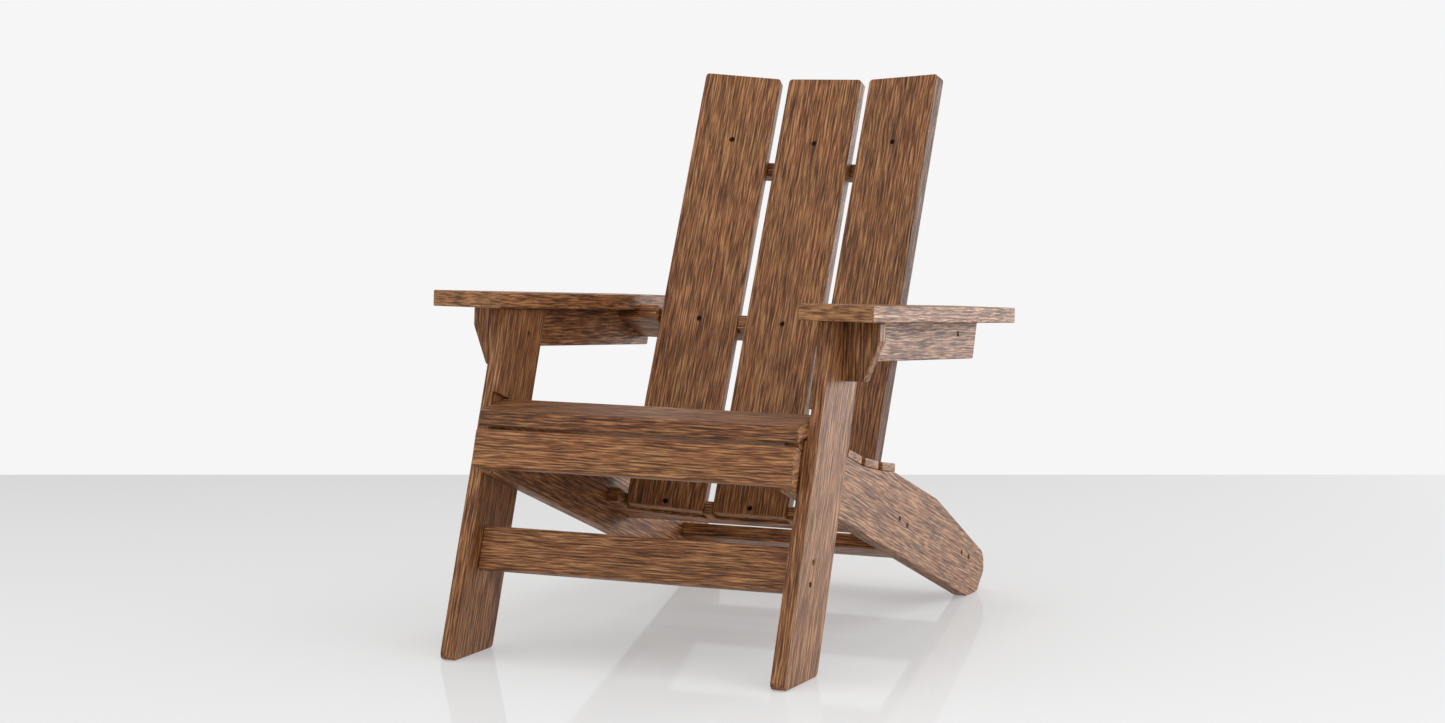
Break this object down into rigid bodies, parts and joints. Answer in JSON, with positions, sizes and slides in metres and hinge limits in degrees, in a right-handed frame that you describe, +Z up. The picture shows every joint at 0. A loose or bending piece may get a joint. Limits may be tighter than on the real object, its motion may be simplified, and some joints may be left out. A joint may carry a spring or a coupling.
{
  "type": "adirondack chair",
  "caption": "Low wooden garden chair with a reclined slatted back, sloping seat, wide flat arms on corbels, leaning front legs and raked rear stringers, all joined with sunk screws.",
  "frame": {"origin": "on the floor, under the middle of the chair's bounding box", "axes": "+Z up; the sitter faces -Y; +X is the sitter's left, the viewer's right from the front"},
  "size_m": [0.781, 0.9943, 0.9399],
  "materials": {
    "brown_wood": "brown stained boards with a fine streaky grain, satin to matt, edges eased",
    "screw_steel": "dark coated steel screws with a square drive, sunk below the face"
  },
  "bodies": {
    "root": {"arm_bar_screw_left_1": "screw_steel", "arm_bar_screw_right_1": "screw_steel", "arm_crossbar": "brown_wood", "arm_left": "brown_wood", "arm_rail_left": "brown_wood", "arm_rail_right": "brown_wood", "arm_right": "brown_wood", "arm_screw_left_1": "screw_steel", "arm_screw_left_2": "screw_steel", "arm_screw_right_1": "screw_steel", "arm_screw_right_2": "screw_steel", "back_slat_left": "brown_wood", "back_slat_middle": "brown_wood", "back_slat_right": "brown_wood", "corbel_left": "brown_wood", "corbel_right": "brown_wood", "front_apron": "brown_wood", "front_leg_left": "brown_wood", "front_leg_right": "brown_wood", "front_stretcher": "brown_wood", "leg_screw_left_1": "screw_steel", "leg_screw_left_2": "screw_steel", "leg_screw_right_1": "screw_steel", "leg_screw_right_2": "screw_steel", "lower_bar_screw_left_1": "screw_steel", "lower_bar_screw_left_2": "screw_steel", "lower_bar_screw_right_1": "screw_steel", "lower_bar_screw_right_2": "screw_steel", "lower_crossbar": "brown_wood", "rail_screw_left_1": "screw_steel", "rail_screw_right_1": "screw_steel", "rear_bar_screw_left_1": "screw_steel", "rear_bar_screw_left_2": "screw_steel", "rear_bar_screw_right_1": "screw_steel", "rear_bar_screw_right_2": "screw_steel", "rear_crossbar": "brown_wood", "seat_slat_1": "brown_wood", "seat_slat_2": "brown_wood", "seat_slat_3": "brown_wood", "seat_slat_4": "brown_wood", "seat_slat_5": "brown_wood", "seat_slat_6": "brown_wood", "slat_screw_low_left": "screw_steel", "slat_screw_low_middle": "screw_steel", "slat_screw_low_right": "screw_steel", "slat_screw_mid_left": "screw_steel", "slat_screw_mid_middle": "screw_steel", "slat_screw_mid_right": "screw_steel", "slat_screw_top_left": "screw_steel", "slat_screw_top_middle": "screw_steel", "slat_screw_top_right": "screw_steel", "stretcher_screw_left_1": "screw_steel", "stretcher_screw_left_2": "screw_steel", "stretcher_screw_right_1": "screw_steel", "stretcher_screw_right_2": "screw_steel", "stringer_left": "brown_wood", "stringer_right": "brown_wood", "upper_crossbar": "brown_wood"}
  },
  "joints": []
}
